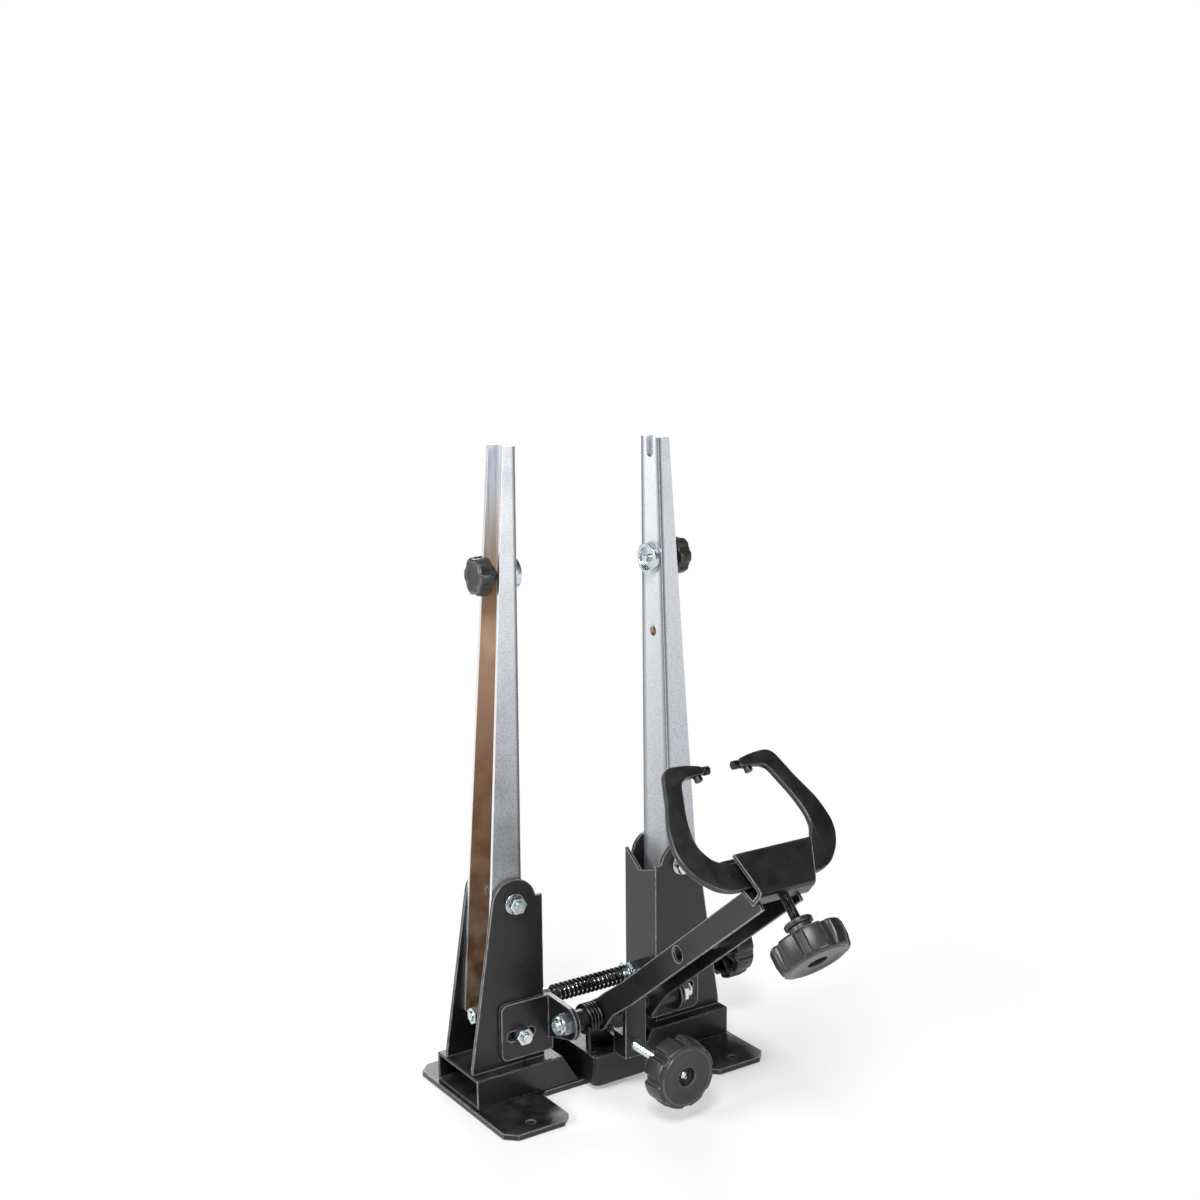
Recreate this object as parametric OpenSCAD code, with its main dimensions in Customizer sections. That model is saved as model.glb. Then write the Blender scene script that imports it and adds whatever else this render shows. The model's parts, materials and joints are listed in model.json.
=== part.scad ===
// Bicycle wheel truing stand. Origin on the floor, under the wheel axle, midway between the uprights.
// +X to the knob side, -Y to the arm side, +Z up. All sizes in millimetres.

/* [Base] */
// Half width of the base plate
base_half_x = 128; // [122:1:140]
// Half length of the base tube, to its open ends
tube_half_x = 125; // [118:1:127]
// Half depth of the base tube
tube_half_y = 34; // [30:1:40]
// Height of the base tube
tube_h = 25; // [20:1:32]
// Wall of the base tube
tube_wall = 2.5; // [1.5:0.5:4]
// Thickness of the base plate
plate_t = 5; // [3:0.5:8]
// How far the front feet reach forwards
front_foot_y = 88; // [80:1:100]
// How far the rear feet reach backwards
rear_foot_y = 66; // [62:1:80]
// Radius of the holes in the feet
foot_hole_r = 3.5; // [2.5:0.25:4.5]
// Half width of the centre box
box_half_x = 27; // [22:0.5:28]

/* [Brackets] */
// Distance of each bracket's web from the middle
bracket_x = 56; // [54:0.5:60]
// Thickness of the bracket sheet
bracket_t = 3; // [2:0.5:4]
// Height of the upright pivots above the floor
pivot_z = 167; // [155:1:180]
// Distance of the upright pivots from the middle
pivot_x = 82; // [78:0.5:86]
// Radius of the bolts that the uprights pivot on
pivot_r = 4; // [3:0.5:5]
// Thickness of the slotted plates on the brackets
slot_plate_t = 4; // [3:0.5:5]

/* [Uprights] */
// Height of the wheel axle above the floor
axle_z = 520; // [480:5:560]
// Distance between the uprights at the axle
hub_w = 135; // [126:1:142]
// Width of each upright over its lower part
upright_w = 39.4; // [34:0.2:39.4]
// Width of each upright at its top
upright_top_w = 25; // [20:0.5:30]
// Depth of the upright's flanges at the top
flange_top_d = 11; // [9:0.5:15]
// Depth of the upright's flanges at the bottom
flange_low_d = 32; // [26:0.5:34]
// Sheet thickness of the uprights
upright_t = 3; // [2:0.5:3.5]
// Radius of the axle slots
axle_r = 5.2; // [4.6:0.1:6.2]
// Outward lean of the uprights towards their feet, in degrees
lean = 1; // [0.5:0.1:1.5]

/* [Width screw] */
// Height of the width screw above the floor
width_z = 70; // [66:0.5:74]
// Radius of the width screw
width_r = 4; // [3:0.5:5]
// Distance of the threaded trunnions from the middle
trunnion_x = 88; // [86:0.5:92]

/* [Arm] */
// Forward distance of the arm shaft
shaft_y = 56; // [52:0.5:60]
// Height of the arm shaft above the floor
shaft_z = 69; // [66:0.5:72]
// Radius of the arm shaft
shaft_r = 5; // [4:0.5:6]
// Slope of the arm above level, in degrees
arm_slope = 38; // [36:0.5:40]
// Width of the arm channel
arm_w = 38; // [34:0.5:40]
// Depth of the arm channel
arm_d = 20; // [18:0.5:22]
// Sheet thickness of the arm
arm_t = 2.5; // [2:0.5:3]
// Drop of the height screw below the arm shaft
screw_drop = 26; // [24:0.5:28]
// Radius of the height screw
height_r = 4; // [3:0.5:5]

/* [Caliper] */
// Forward distance of the caliper knob's face
caliper_y = 302; // [296:1:308]
// Height of the caliper knob's face
caliper_z = 190; // [184:1:196]
// Tilt of the caliper, in degrees
caliper_tilt = 45; // [43:0.5:47]
// Thickness of the jaws
jaw_t = 5; // [3:0.5:6]
// Width of the housing sheet
housing_w = 70; // [66:1:76]
// Distance of each jaw pin from the middle
jaw_pin_x = 14; // [13:0.5:16]
// Radius of the jaw pins
jaw_pin_r = 3; // [2:0.5:3.5]

/* [Knobs] */
// Diameter of the three large knobs
knob_d = 56; // [46:1:60]
// Grip thickness of the large knobs
knob_h = 21; // [12:1:24]
// Diameter of the two small knobs
small_knob_d = 32; // [26:1:36]

/* [Hidden] */
$fn = 48;
fit = 0.05;
gap = 0.3;
eps = 0.5;
// Half size of the blocks that cut a piece off at a plane
cutter = 150;
black = "#1d1d1e";
plated = "#a9adb2";
zinc = "#c9ced0";
plastic = "#242425";
spring_black = "#19191a";
deck_z = plate_t + tube_h;
plate_y = 36;
foot_in_x = 68;
foot_chamfer = 9;
foot_hole_x = 100;
foot_hole_inset = 14;
tube_end_top_x = 45;
tube_end_low_x = 30;
box_front_y = 55;
box_back_y = 30;
box_r = 6;
bracket_y = 23;
bracket_in_y = bracket_y - bracket_t;
bracket_top_r = 20;
bracket_top_x = 97;
bracket_low_x = 123;
web_notch_z = pivot_z - 7;
slot_x = 80;
slot_z = 56;
slot_r = 4.25;
slot_run = 26;
stud_r = 4;
ear_x = 50;
ear_r = 14;
fork_out_x = 25;
nut_af = 17;
pivot_nut_af = 13;
// Top of the uprights and the place of their wheel-side faces there
top_z = axle_z + 12;
top_x = hub_w / 2 - 12 * tan(lean);
upright_low_z = width_z - 16;
taper_z = 185;
rod_end_x = 112;
spring_half = 38;
spring_r = 6.3;
spring_wire = 1.4;
spring_turns = 17;
knob_neck_x = 128;
small_z = 431;
small_r = 3;
small_knob_h = 12;
small_knob_x = 88.5;
ring_nut_r = 13;
ring_nut_h = 6;
ring_dish_r = 9.5;
ring_dish_h = 3;
window_z = 369;
arm_top = 11.8;
arm_low = arm_top - arm_d;
// The arm is drawn past the housing's back plate, which then cuts it to length
arm_len = norm([caliper_y - shaft_y, caliper_z - shaft_z]) - 8;
fork_len = 44;
stop_y = 34;
stop_t = 5;
tip_r = 4;
tip_len = 5;
block_y0 = 57;
block_y1 = 75;
block_half_x = 10;
height_z = shaft_z - screw_drop;
height_face_y = 147;
knob_neck = 12;
knob_hub_r = 11;
width_neck = 13;
stud_proud = 11.5;
slot_nut_h = 7;
jaw_pin_s = 78;
cone_s = 62;
cone_r = 6.5;
cone_tip_r = 3;
cone_base = 1.2;
cone_h = (cone_r - cone_tip_r) / tan(30);
back_plate_y = 3.3;
housing_t = 3;

// Turns a flat outline given as (y, z) into a sheet from x0, t thick
module side_sheet(x0, t) translate([x0, 0, 0]) rotate([90, 0, 90]) linear_extrude(t) children();
// Turns a flat outline given as (x, z) into a sheet from y0 towards -Y, t thick
module front_sheet(y0, t) translate([0, y0, 0]) rotate([90, 0, 0]) linear_extrude(t) children();
// Round bar along X, Y from a start to an end
module bar_x(x0, x1, r, y = 0, z = 0) translate([x0, y, z]) rotate([0, 90, 0]) cylinder(h = x1 - x0, r = r);
module bar_y(y0, y1, r, x = 0, z = 0) translate([x, y0, z]) rotate([-90, 0, 0]) cylinder(h = y1 - y0, r = r);
// Hexagon nut along X or Y with a bore
module nut_x(x0, x1, af, bore, y = 0, z = 0) difference() {
  translate([x0, y, z]) rotate([0, 90, 0]) cylinder(h = x1 - x0, d = af / cos(30), $fn = 6);
  bar_x(x0 - eps, x1 + eps, bore, y, z);
}
module nut_y(y0, y1, af, bore, x = 0, z = 0) difference() {
  translate([x, y0, z]) rotate([-90, 0, 0]) cylinder(h = y1 - y0, d = af / cos(30), $fn = 6);
  bar_y(y0 - eps, y1 + eps, bore, x, z);
}
module both_sides() {
  children();
  mirror([1, 0, 0]) children();
}
// A straight strip of sheet between two points of a folded outline, with round ends
module strip(p, q, t) {
  run = norm(q - p);
  translate(p) rotate(atan2(q[1] - p[1], q[0] - p[0])) translate([0, -t / 2]) square([run, t]);
  translate(p) circle(d = t);
  translate(q) circle(d = t);
}
// Wire of radius w wound round the Z axis, as a swept tube
function coil_point(a, r, pitch) = [r * cos(a), r * sin(a), pitch * a / 360];
module coil(r, w, turns, pitch, steps = 16, sides = 6) {
  n = turns * steps;
  rings = [for (i = [0:n]) let (a = i * 360 / steps, rise = atan(pitch / (2 * PI * r)))
    for (k = [0:sides - 1]) let (b = k * 360 / sides)
      coil_point(a, r, pitch) + w * (cos(b) * [cos(a), sin(a), 0]
        + sin(b) * [sin(rise) * sin(a), -sin(rise) * cos(a), cos(rise)])];
  walls = [for (i = [0:n - 1]) for (k = [0:sides - 1]) let (m = (k + 1) % sides)
    [i * sides + k, i * sides + m, (i + 1) * sides + m, (i + 1) * sides + k]];
  first_end = [[for (k = [sides - 1:-1:0]) k]];
  last_end = [[for (k = [0:sides - 1]) n * sides + k]];
  polyhedron(rings, concat(walls, first_end, last_end), convexity = 10);
}
// Lobed knob: grip from z = 0 up to h, then a neck, with a blind hole for the screw
module lobed_knob(d, h, neck_r, neck_h, bore_r, lobes) difference() {
  union() {
    cylinder(h = h, d = d);
    translate([0, 0, h]) cylinder(h = neck_h, r = neck_r);
  }
  for (i = [0:lobes - 1]) rotate(i * 360 / lobes)
    translate([d * 0.545, 0, -eps]) cylinder(h = h + 2 * eps, r = d * 0.1);
  translate([0, 0, -eps]) cylinder(h = 3 + eps, r = bore_r + 2);
  translate([0, 0, 2]) cylinder(h = h + neck_h, r = bore_r);
}

// Outline of the foot on the +X side, from the plate's edge round to its outer side; way is -1 for the front
function foot(way, y_end) = [[foot_in_x - 5, way * plate_y], [foot_in_x, way * (plate_y + 6)],
  [foot_in_x, way * (y_end - foot_chamfer)], [foot_in_x + foot_chamfer, way * y_end],
  [base_half_x - foot_chamfer, way * y_end], [base_half_x, way * (y_end - foot_chamfer)]];
function reversed(points) = [for (i = [len(points) - 1:-1:0]) points[i]];
function mirrored(points) = [for (p = points) [-p[0], p[1]]];
module base_plate() color(black) difference() {
  linear_extrude(plate_t) polygon(concat(foot(-1, front_foot_y), reversed(foot(1, rear_foot_y)),
    mirrored(foot(1, rear_foot_y)), mirrored(reversed(foot(-1, front_foot_y)))));
  both_sides() for (y = [foot_hole_inset - front_foot_y, rear_foot_y - foot_hole_inset])
    translate([foot_hole_x, y, -eps]) cylinder(h = plate_t + 2 * eps, r = foot_hole_r);
}
module tube_half() difference() {
  front_sheet(tube_half_y, 2 * tube_half_y) polygon([[tube_end_low_x, plate_t],
    [tube_end_top_x, deck_z], [tube_half_x, deck_z], [tube_half_x, plate_t]]);
  translate([0, tube_wall - tube_half_y, plate_t + tube_wall])
    cube([tube_half_x + 1, 2 * (tube_half_y - tube_wall), tube_h - 2 * tube_wall]);
}
module base_tube_right() color(black) tube_half();
module base_tube_left() color(black) mirror([1, 0, 0]) tube_half();
module centre_box() color(black) difference() {
  union() {
    translate([-box_half_x, box_r - box_front_y, plate_t])
      cube([2 * box_half_x, box_front_y + box_back_y - box_r, tube_h + 1]);
    translate([box_r - box_half_x, -box_front_y, plate_t])
      cube([2 * (box_half_x - box_r), box_r + 1, tube_h + 1]);
    both_sides() translate([box_half_x - box_r, box_r - box_front_y, plate_t])
      cylinder(h = tube_h + 1, r = box_r);
  }
  translate([tube_wall - box_half_x, box_r - box_front_y, plate_t - eps])
    cube([2 * (box_half_x - tube_wall), box_front_y + box_back_y, tube_h + 1 - tube_wall + eps]);
}
module stop_plate() color(black) translate([-20, -stop_y, deck_z + 1])
  cube([40, stop_t, height_z - deck_z + 14]);

module bracket_outline() {
  polygon([[bracket_x, deck_z], [bracket_low_x, deck_z], [bracket_low_x, deck_z + 5],
    [bracket_top_x + 4.6, pivot_z + 4], [pivot_x, pivot_z + 8], [bracket_x + 9, pivot_z + 8],
    [bracket_x + 7, pivot_z + 3], [bracket_x, pivot_z + 3]]);
  translate([pivot_x, pivot_z]) circle(r = bracket_top_r);
}
module bracket() difference() {
  union() {
    front_sheet(-bracket_in_y, bracket_t) bracket_outline();
    front_sheet(bracket_y, bracket_t) bracket_outline();
    side_sheet(bracket_x, bracket_t) polygon([[-bracket_y, deck_z], [bracket_y, deck_z],
      [bracket_y, pivot_z + 8], [2, web_notch_z], [-bracket_y, pivot_z]]);
  }
  bar_y(-bracket_y - 1, bracket_y + 1, pivot_r + fit, pivot_x, pivot_z);
  bar_y(-bracket_y - 1, 0, stud_r, slot_x, slot_z);
  bar_x(bracket_x - 1, bracket_x + bracket_t + 1, width_r + fit, 0, width_z);
}
module bracket_right() color(black) bracket();
module bracket_left() color(black) mirror([1, 0, 0]) bracket();

module slot_plate() difference() {
  union() {
    front_sheet(-bracket_y, slot_plate_t) {
      translate([ear_x, 42]) square([42, 38]);
      translate([ear_x, 36]) square([42, 48]);
      translate([ear_x, 42]) square([48, 36]);
      for (z = [42, 78]) translate([92, z]) circle(r = 6);
    }
    side_sheet(ear_x, slot_plate_t) {
      polygon([[-bracket_y, 46], [-shaft_y, shaft_z - ear_r], [-shaft_y, shaft_z + ear_r],
        [-bracket_y, 84]]);
      translate([-shaft_y, shaft_z]) circle(r = ear_r);
    }
  }
  front_sheet(eps - bracket_y, slot_plate_t + 2 * eps) {
    translate([slot_x + slot_r - slot_run / 2, slot_z - slot_r]) square([slot_run - 2 * slot_r, 2 * slot_r]);
    for (s = [-1, 1]) translate([slot_x + s * (slot_run / 2 - slot_r), slot_z]) circle(r = slot_r);
  }
  bar_x(ear_x - 1, ear_x + slot_plate_t + 1, shaft_r, -shaft_y, shaft_z);
}
module slot_plate_right() color(black) slot_plate();
module slot_plate_left() color(black) mirror([1, 0, 0]) slot_plate();
slot_face_y = bracket_y + slot_plate_t;
module slot_studs() color(zinc) both_sides()
  bar_y(-slot_face_y - stud_proud, -bracket_in_y, stud_r, slot_x, slot_z);
module slot_nuts() color(zinc) both_sides()
  nut_y(-slot_face_y - slot_nut_h, -slot_face_y, pivot_nut_af, stud_r, slot_x, slot_z);
module pivot_bolts() color(zinc) both_sides() {
  bar_y(-bracket_y - 10, bracket_y + 1, pivot_r, pivot_x, pivot_z);
  translate([pivot_x, bracket_y, pivot_z]) rotate([-90, 0, 0])
    cylinder(h = 5.5, d = pivot_nut_af / cos(30), $fn = 6);
}
module pivot_washers() color(zinc) both_sides() difference() {
  bar_y(-bracket_y - 1.5, -bracket_y, 8.5, pivot_x, pivot_z);
  bar_y(-bracket_y - 3, 0, pivot_r, pivot_x, pivot_z);
}
module pivot_nuts() color(zinc) both_sides()
  nut_y(-bracket_y - 8, -bracket_y - 1.5, pivot_nut_af, pivot_r, pivot_x, pivot_z);
ear_out_x = ear_x + slot_plate_t;
shaft_proud = 12;
shaft_nut_h = 7;
spacer_r = 9.2;
module arm_shaft() color(zinc)
  bar_x(-ear_out_x - shaft_proud, ear_out_x + shaft_proud, shaft_r, -shaft_y, shaft_z);
module arm_shaft_nuts() color(zinc) both_sides() union() {
  nut_x(ear_out_x, ear_out_x + shaft_nut_h, nut_af, shaft_r, -shaft_y, shaft_z);
  difference() {
    bar_x(ear_out_x + shaft_nut_h, ear_out_x + shaft_proud - 2, nut_af / 2 - 1, -shaft_y, shaft_z);
    bar_x(ear_out_x, ear_out_x + shaft_proud, shaft_r, -shaft_y, shaft_z);
  }
}
module shaft_spacers() color(black) both_sides() difference() {
  bar_x(fork_out_x + gap, ear_x, spacer_r, -shaft_y, shaft_z);
  bar_x(fork_out_x - 1, ear_x + 1, shaft_r, -shaft_y, shaft_z);
}
coil_mid_r = 11;
coil_wire = 1.5;
module torsion_spring() color(spring_black) {
  translate([-40, -shaft_y, shaft_z]) rotate([0, 90, 0]) rotate(90) mirror([0, 1, 0])
    coil(coil_mid_r, coil_wire, 4, 3.1, 20, 8);
  translate([-40, -shaft_y - coil_mid_r, 0]) {
    translate([0, 0, 42]) cylinder(h = shaft_z - 42, r = coil_wire, $fn = 16);
    translate([0, 0, 42]) sphere(r = coil_wire, $fn = 16);
    translate([0, 0, 42]) rotate([0, 90, 0]) cylinder(h = 8, r = coil_wire, $fn = 16);
  }
}

// Upright drawn upright at x = 0 with its web towards the wheel, then leant outwards
module upright_outline(inset) {
  h = top_z - upright_low_z;
  w = upright_w / 2 - inset;
  tw = upright_top_w / 2 - inset;
  polygon([[-w, taper_z - top_z], [-tw, inset], [tw, inset], [w, taper_z - top_z],
    [w, 7 - h], [w - 8, -h - inset], [8 - w, -h - inset], [-w, 7 - h]]);
}
module upright_flange_side() {
  h = top_z - upright_low_z;
  polygon([[0, 0], [flange_top_d, 0], [flange_low_d, 14 - h], [flange_low_d - 12, -h], [0, -h]]);
}
module upright_holes() {
  bar_y(-30, 30, pivot_r + fit, pivot_x, pivot_z);
  bar_y(-30, 30, pivot_r + fit, trunnion_x, width_z);
  bar_x(60, 84, 8, 0, width_z);
  bar_x(60, 84, small_r + fit, 0, small_z);
  bar_x(60, 84, 4.75, 0, window_z);
  bar_x(60, 84, axle_r, 0, axle_z);
  translate([60, -axle_r, axle_z]) cube([24, 2 * axle_r, 20]);
}
module upright() difference() {
  translate([top_x, 0, top_z]) rotate([0, -lean, 0]) difference() {
    intersection() {
      side_sheet(0, flange_low_d) upright_outline(0);
      front_sheet(30, 60) upright_flange_side();
    }
    side_sheet(upright_t, flange_low_d) upright_outline(upright_t);
  }
  upright_holes();
}
module upright_right() color(plated) upright();
module upright_left() color(plated) mirror([1, 0, 0]) upright();
trunnion_half = upright_w / 2 - upright_t - gap;
module trunnion() difference() {
  union() {
    bar_y(-trunnion_half, trunnion_half, 7.5, trunnion_x, width_z);
    bar_y(-upright_w / 2, upright_w / 2, pivot_r, trunnion_x, width_z);
  }
  bar_x(trunnion_x - 20, trunnion_x + 20, width_r + 0.45, 0, width_z);
}
module trunnion_right() color(zinc) trunnion();
module trunnion_left() color(zinc) mirror([1, 0, 0]) trunnion();

module width_screw() color(zinc) bar_x(-rod_end_x, knob_neck_x + width_neck + 2, width_r, 0, width_z);
module width_nuts() color(zinc) {
  nut_x(-bracket_x, 12 - bracket_x, 18, width_r, 0, width_z);
  nut_x(40 + 4, bracket_x, nut_af, width_r, 0, width_z);
  nut_x(-rod_end_x + 1, -rod_end_x + 7, pivot_nut_af, width_r, 0, width_z);
}
module width_sleeve() color(zinc) difference() {
  bar_x(12 - bracket_x, -spring_half - gap, 7.5, 0, width_z);
  bar_x(-bracket_x, 0, width_r, 0, width_z);
}
module width_washer() color(zinc) difference() {
  bar_x(spring_half, spring_half + 2, 10, 0, width_z);
  bar_x(0, bracket_x, width_r + fit, 0, width_z);
}
module width_spring() color(spring_black) translate([spring_wire - spring_half, 0, width_z])
  rotate([0, 90, 0]) coil(spring_r, spring_wire, spring_turns,
    (2 * spring_half - 2 * spring_wire) / spring_turns);
module width_knob() color(plastic) translate([knob_neck_x + width_neck + knob_h, 0, width_z])
  rotate([0, -90, 0]) lobed_knob(knob_d, knob_h, knob_hub_r, width_neck, width_r, 8);

small_in_x = top_x + (top_z - small_z) * tan(lean);
module ring_nut() difference() {
  bar_x(small_in_x - ring_nut_h, small_in_x - gap, ring_nut_r, 0, small_z);
  bar_x(small_in_x - ring_nut_h - 1, small_in_x - ring_nut_h + ring_dish_h, ring_dish_r, 0, small_z);
  bar_x(50, 80, small_r + fit, 0, small_z);
}
module ring_nut_right() color(zinc) ring_nut();
module ring_nut_left() color(zinc) mirror([1, 0, 0]) ring_nut();
module knob_spacer() difference() {
  bar_x(small_in_x + upright_t + gap, small_knob_x - 6 - gap, 5, 0, small_z);
  bar_x(60, small_knob_x, small_r + fit, 0, small_z);
}
module knob_spacer_right() color(zinc) knob_spacer();
module knob_spacer_left() color(zinc) mirror([1, 0, 0]) knob_spacer();
module small_stud() bar_x(small_in_x - 8, small_knob_x + small_knob_h - 3, small_r, 0, small_z);
module small_stud_right() color(zinc) small_stud();
module small_stud_left() color(zinc) mirror([1, 0, 0]) small_stud();
module small_knob() translate([small_knob_x + small_knob_h, 0, small_z]) rotate([0, -90, 0])
  lobed_knob(small_knob_d, small_knob_h, 8, 6, small_r, 6);
module small_knob_right() color(plastic) small_knob();
module small_knob_left() color(plastic) mirror([1, 0, 0]) small_knob();

// Arm drawn level along -Y from its shaft, then sloped up
module arm_frame() translate([0, -shaft_y, shaft_z]) rotate([-arm_slope, 0, 0]) children();
// Caliper drawn upright from its knob's face, then tilted back
module caliper_frame() translate([0, -caliper_y, caliper_z]) rotate([-caliper_tilt, 0, 0]) children();
module arm() color(black) difference() {
  union() {
    arm_frame() {
      difference() {
        translate([-arm_w / 2, -arm_len, arm_low]) cube([arm_w, arm_len - fork_len, arm_d]);
        translate([arm_t - arm_w / 2, -arm_len - 1, arm_low - 1])
          cube([arm_w - 2 * arm_t, arm_len, arm_d - arm_t + 1]);
      }
      hull() {
        translate([-arm_w / 2, -fork_len - 1, arm_top - arm_t]) cube([arm_w, 1, arm_t]);
        translate([-fork_out_x, -14, arm_top - arm_t]) cube([2 * fork_out_x, 1, arm_t]);
      }
      both_sides() hull() {
        translate([arm_w / 2 - arm_t, -fork_len - 1, arm_low]) cube([arm_t, 1, arm_d]);
        translate([fork_out_x - arm_t, -22, arm_low]) cube([arm_t, 1, arm_d]);
      }
      both_sides() side_sheet(fork_out_x - arm_t, arm_t) {
        polygon([[-22, arm_low], [-22, arm_top], [-10, arm_top], [0, 13], [0, -13]]);
        circle(r = 13);
      }
    }
  }
  bar_x(-fork_out_x - 1, fork_out_x + 1, shaft_r + fit, -shaft_y, shaft_z);
  arm_frame() bar_x(-arm_w, 0, 6.5, -134, 3);
  arm_frame() bar_x(0, arm_w, 3, -134, 3);
  caliper_frame() translate([-cutter, -cutter, -cutter])
    cube([2 * cutter, cutter + back_plate_y + housing_t, 2 * cutter]);
}
module screw_block() color(black) difference() {
  union() {
    translate([-block_half_x, -block_y1, height_z - 10]) cube([2 * block_half_x, block_y1 - block_y0, 20]);
    translate([-block_half_x, -block_y1, height_z]) cube([2 * block_half_x, 5, 70]);
  }
  bar_y(-block_y1 - 1, -block_y0 + 1, height_r + fit, 0, height_z);
  arm_frame() translate([-cutter, -cutter, arm_top - arm_t]) cube([2 * cutter, 2 * cutter, cutter]);
}
module stop_pin() color(zinc) arm_frame() bar_x(-10, arm_w / 2, 3, -134, 3);
tip_y = stop_y + gap + tip_r;
module height_screw_tip() color(zinc) {
  translate([0, -tip_y, height_z]) sphere(r = tip_r);
  bar_y(-tip_y - tip_len, -tip_y, tip_r, 0, height_z);
}
module height_screw() color(zinc) bar_y(-height_face_y + 4, -tip_y - tip_len, height_r, 0, height_z);
module height_knob() color(plastic) translate([0, -height_face_y, height_z]) rotate([-90, 0, 0])
  lobed_knob(knob_d, knob_h, knob_hub_r, knob_neck, height_r, 8);

fold_a = [-13, 86];
fold_b = [-8.5, 56];
housing_low_w = 50;
fold_run = 3;
cone_window_x = 9;
cone_window_s = [57, 76];
jaw_tip_s = 161.5;
jaw_tip_x = 16;
jaw_tip_r = 3.4;
jaw_tip_len = 5;
jaw_screw_x = 23;
jaw_screw_r = 3.2;
jaw_screw_len = 4;
jaw_low_s = 158;
fold_c = [back_plate_y + housing_t / 2, 55];
fold_d = [back_plate_y + housing_t / 2, 90];
// Point at distance d from p on the way to q
function toward(p, q, d) = p + (q - p) * d / norm(q - p);
fold_b_up = toward(fold_b, fold_a, fold_run);
fold_b_back = toward(fold_b, fold_c, fold_run);
housing_path = [fold_a, fold_b_up, (fold_b_up + 2 * fold_b + fold_b_back) / 4, fold_b_back, fold_c, fold_d];
module housing() color(black) caliper_frame() difference() {
  intersection() {
    side_sheet(-housing_w / 2, housing_w) for (i = [0:len(housing_path) - 2])
      strip(housing_path[i], housing_path[i + 1], housing_t);
    front_sheet(40, 80) polygon([[-housing_low_w / 2, 40], [housing_low_w / 2, 40],
      [housing_low_w / 2, fold_b[1]], [housing_w / 2, fold_a[1]], [housing_w / 2, 100],
      [-housing_w / 2, 100], [-housing_w / 2, fold_a[1]], [-housing_low_w / 2, fold_b[1]]]);
  }
  translate([0, 0, 40]) cylinder(h = 20, r = height_r + fit);
  translate([-cone_window_x, 0, cone_window_s[0]])
    cube([2 * cone_window_x, 10, cone_window_s[1] - cone_window_s[0]]);
  both_sides() bar_y(0, 20, jaw_pin_r, jaw_pin_x, jaw_pin_s);
}
module jaw_pins() color(zinc) caliper_frame() both_sides() {
  bar_y(-jaw_t / 2 - 2, back_plate_y + housing_t, jaw_pin_r, jaw_pin_x, jaw_pin_s);
  bar_y(-jaw_t / 2 - 2 - gap, -jaw_t / 2 - gap, 5, jaw_pin_x, jaw_pin_s);
}
module jaw_outline() polygon([[5.2, 66], [38, 64], [52, 69], [63, 80], [69, 91], [71, 101], [70, 111],
  [68, 121], [64, 131], [59, 142], [55, 154], [51, 165], [45, 169], [30, 168], [jaw_tip_x, 165],
  [jaw_tip_x, jaw_low_s], [34, jaw_low_s], [40, 154], [44, 142], [48, 131], [50.5, 121], [52, 111],
  [51, 101], [45, 91], [35, 86], [20, 86], [7, 87]]);
module jaw() difference() {
  front_sheet(jaw_t / 2, jaw_t) jaw_outline();
  bar_y(-20, 20, jaw_pin_r + fit, jaw_pin_x, jaw_pin_s);
}
module jaw_right() color(black) caliper_frame() jaw();
module jaw_left() color(black) caliper_frame() mirror([1, 0, 0]) jaw();
module jaw_tip() {
  bar_x(jaw_tip_x - jaw_tip_len, jaw_tip_x, jaw_tip_r, 0, jaw_tip_s);
  translate([jaw_screw_x, 0, jaw_low_s - jaw_screw_len]) cylinder(h = jaw_screw_len, r = jaw_screw_r);
}
module jaw_tip_right() color(spring_black) caliper_frame() jaw_tip();
module jaw_tip_left() color(spring_black) caliper_frame() mirror([1, 0, 0]) jaw_tip();
module caliper_cone() color(zinc) caliper_frame() translate([0, 0, cone_s]) {
  translate([0, 0, -cone_base]) cylinder(h = cone_base, r = cone_r);
  cylinder(h = cone_h, r1 = cone_r, r2 = cone_tip_r);
}
module caliper_screw() color(spring_black) caliper_frame() translate([0, 0, 4])
  cylinder(h = cone_s - cone_base - 4, r = height_r);
module caliper_knob() color(plastic) caliper_frame()
  lobed_knob(knob_d, knob_h, knob_hub_r, knob_neck, height_r, 8);

base_plate();
base_tube_left();
base_tube_right();
centre_box();
stop_plate();
bracket_left();
bracket_right();
slot_plate_left();
slot_plate_right();
slot_studs();
slot_nuts();
pivot_bolts();
pivot_washers();
pivot_nuts();
arm_shaft();
arm_shaft_nuts();
shaft_spacers();
torsion_spring();
upright_left();
upright_right();
trunnion_left();
trunnion_right();
width_screw();
width_nuts();
width_sleeve();
width_washer();
width_spring();
width_knob();
ring_nut_left();
ring_nut_right();
knob_spacer_left();
knob_spacer_right();
small_stud_left();
small_stud_right();
small_knob_left();
small_knob_right();
arm();
screw_block();
stop_pin();
height_screw_tip();
height_screw();
height_knob();
housing();
jaw_pins();
jaw_left();
jaw_right();
jaw_tip_left();
jaw_tip_right();
caliper_cone();
caliper_screw();
caliper_knob();
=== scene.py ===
"""Bicycle wheel truing stand: the finish of every piece, laid out as an add-on and run as a script.

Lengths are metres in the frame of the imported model: origin on the floor under the wheel axle, +Z up,
+X to the width knob, -Y to the arm.
"""

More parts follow.
